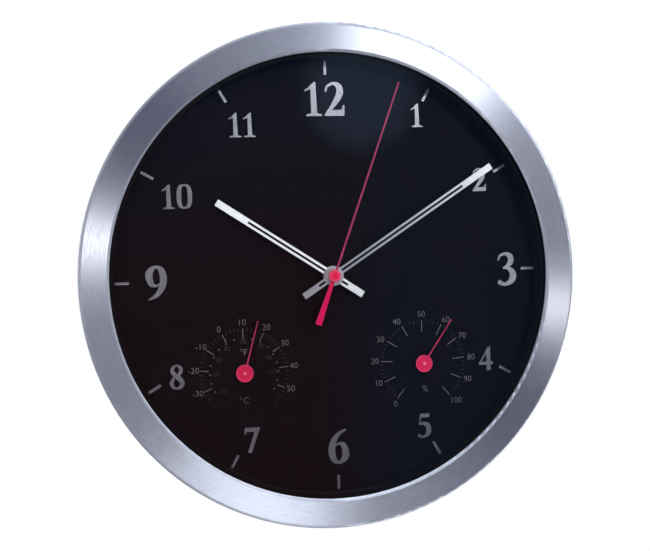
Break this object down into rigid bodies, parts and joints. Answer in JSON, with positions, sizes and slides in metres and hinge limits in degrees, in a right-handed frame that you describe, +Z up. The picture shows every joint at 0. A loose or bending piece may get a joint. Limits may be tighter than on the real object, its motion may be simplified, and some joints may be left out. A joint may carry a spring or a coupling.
{
  "type": "thermometer hygrometer clock",
  "caption": "Round wall clock with a brushed metal bezel, black dial, three hands and two small dials for temperature and humidity.",
  "frame": {"origin": "on the hands' axis, in the plane of the wall that the bezel's rear hem rests on", "axes": "+Y towards the wall, so the dial faces -Y; +Z up to twelve; +X to the viewer's right"},
  "size_m": [0.3, 0.04, 0.3],
  "materials": {
    "bezel_aluminium": "bright, brushed in circles",
    "clear_glass": "clear, flat",
    "black_plastic": "moulded, fine texture",
    "dial_black": "satin black",
    "fastener_steel": "zinc plated",
    "nut_brass": "dark burnished",
    "washer_rubber": "soft",
    "battery_jacket": "satin grey",
    "contact_steel": "nickel plated",
    "board_green": "lacquered",
    "can_steel": "bright",
    "iron": "stamped",
    "winding_copper": "enamelled copper wire",
    "wheel_plastic": "moulded natural white",
    "magnet": "ferrite magnet on a moulded pinion",
    "hand_silver": "bright satin",
    "hand_red": "satin red",
    "cap_red": "gloss red",
    "instrument_brass": "bright",
    "arbor_steel": "turned",
    "print_silver": "screen-printed silver"
  },
  "bodies": {
    "case": {"bezel": "bezel_aluminium", "glass": "clear_glass", "spacer_ring": "black_plastic", "dial_plate": "dial_black", "back_cover": "black_plastic", "back_cover_screws": "fastener_steel", "hanger_plate": "fastener_steel", "movement_front_case": "black_plastic", "movement_rear_case": "black_plastic", "shaft_washer": "washer_rubber", "shaft_nut": "nut_brass", "positive_contact": "contact_steel", "negative_contact": "contact_steel", "circuit_board": "board_green", "quartz_crystal": "can_steel", "stator": "iron", "coil_core": "iron", "motor_coil": "winding_copper", "train_bridge": "black_plastic", "thermometer_base": "instrument_brass", "thermometer_cup": "instrument_brass", "thermometer_coil": "instrument_brass", "hygrometer_base": "instrument_brass", "hygrometer_cup": "instrument_brass", "hygrometer_coil": "instrument_brass"},
    "minute_hand": {"minute_hand": "hand_silver", "cannon_pinion": "wheel_plastic"},
    "hour_hand": {"hour_hand": "hand_silver", "hour_wheel": "wheel_plastic"},
    "minute_wheel": {"minute_wheel": "wheel_plastic"},
    "setting_knob": {"setting_knob": "wheel_plastic"},
    "second_hand": {"second_hand": "hand_red", "second_hand_cap": "cap_red", "second_wheel": "wheel_plastic"},
    "fifth_wheel": {"fifth_wheel": "wheel_plastic"},
    "rotor": {"rotor": "magnet"},
    "third_wheel": {"third_wheel": "wheel_plastic"},
    "centre_wheel": {"centre_wheel": "wheel_plastic"},
    "thermometer_pointer": {"thermometer_pointer": "hand_red", "thermometer_arbor": "arbor_steel"},
    "hygrometer_pointer": {"hygrometer_pointer": "hand_red", "hygrometer_arbor": "arbor_steel"},
    "battery": {"battery": "battery_jacket"}
  },
  "joints": [
    {"name": "minute_hand_turn", "type": "hinge", "parent": "case", "child": "minute_hand", "pos_m": [0, -0.02, 0], "axis": [0, 1, 0], "continuous": true},
    {"name": "hour_hand_turn", "type": "hinge", "parent": "case", "child": "hour_hand", "pos_m": [0, -0.02, 0], "axis": [0, 1, 0], "continuous": true},
    {"name": "minute_wheel_turn", "type": "hinge", "parent": "case", "child": "minute_wheel", "pos_m": [0.00752, -0.02, -0.00274], "axis": [0, 1, 0], "continuous": true},
    {"name": "setting_knob_turn", "type": "hinge", "parent": "case", "child": "setting_knob", "pos_m": [0.01552, -0.02, -0.00274], "axis": [0, 1, 0], "continuous": true},
    {"name": "second_hand_turn", "type": "hinge", "parent": "case", "child": "second_hand", "pos_m": [0, -0.02, 0], "axis": [0, 1, 0], "continuous": true},
    {"name": "fifth_wheel_turn", "type": "hinge", "parent": "case", "child": "fifth_wheel", "pos_m": [0.00745, -0.02, 0.00131], "axis": [0, 1, 0], "continuous": true},
    {"name": "rotor_turn", "type": "hinge", "parent": "case", "child": "rotor", "pos_m": [0.01033, -0.02, 0.0063], "axis": [0, 1, 0], "continuous": true},
    {"name": "third_wheel_turn", "type": "hinge", "parent": "case", "child": "third_wheel", "pos_m": [-0.00883, -0.02, 0.0051], "axis": [0, 1, 0], "continuous": true},
    {"name": "centre_wheel_turn", "type": "hinge", "parent": "case", "child": "centre_wheel", "pos_m": [0, -0.02, 0], "axis": [0, 1, 0], "continuous": true},
    {"name": "thermometer_pointer_turn", "type": "hinge", "parent": "case", "child": "thermometer_pointer", "pos_m": [-0.0552, -0.02, -0.0558], "axis": [0, 1, 0], "range_deg": [-128.6, 96.6]},
    {"name": "hygrometer_pointer_turn", "type": "hinge", "parent": "case", "child": "hygrometer_pointer", "pos_m": [0.0552, -0.02, -0.0558], "axis": [0, 1, 0], "range_deg": [-175.8, 106.2]},
    {"name": "battery_slide", "type": "slide", "parent": "case", "child": "battery", "axis": [0, 1, 0], "range_m": [0, 0.018]}
  ],
  "couplings": [
    {"joint": "hour_hand_turn", "follows": "minute_hand_turn", "ratio": 0.083333},
    {"joint": "minute_wheel_turn", "follows": "minute_hand_turn", "ratio": -0.33333},
    {"joint": "setting_knob_turn", "follows": "minute_hand_turn", "ratio": 1},
    {"joint": "fifth_wheel_turn", "follows": "second_hand_turn", "ratio": -6},
    {"joint": "rotor_turn", "follows": "second_hand_turn", "ratio": 30},
    {"joint": "third_wheel_turn", "follows": "second_hand_turn", "ratio": -0.13333},
    {"joint": "centre_wheel_turn", "follows": "second_hand_turn", "ratio": 0.016667}
  ]
}
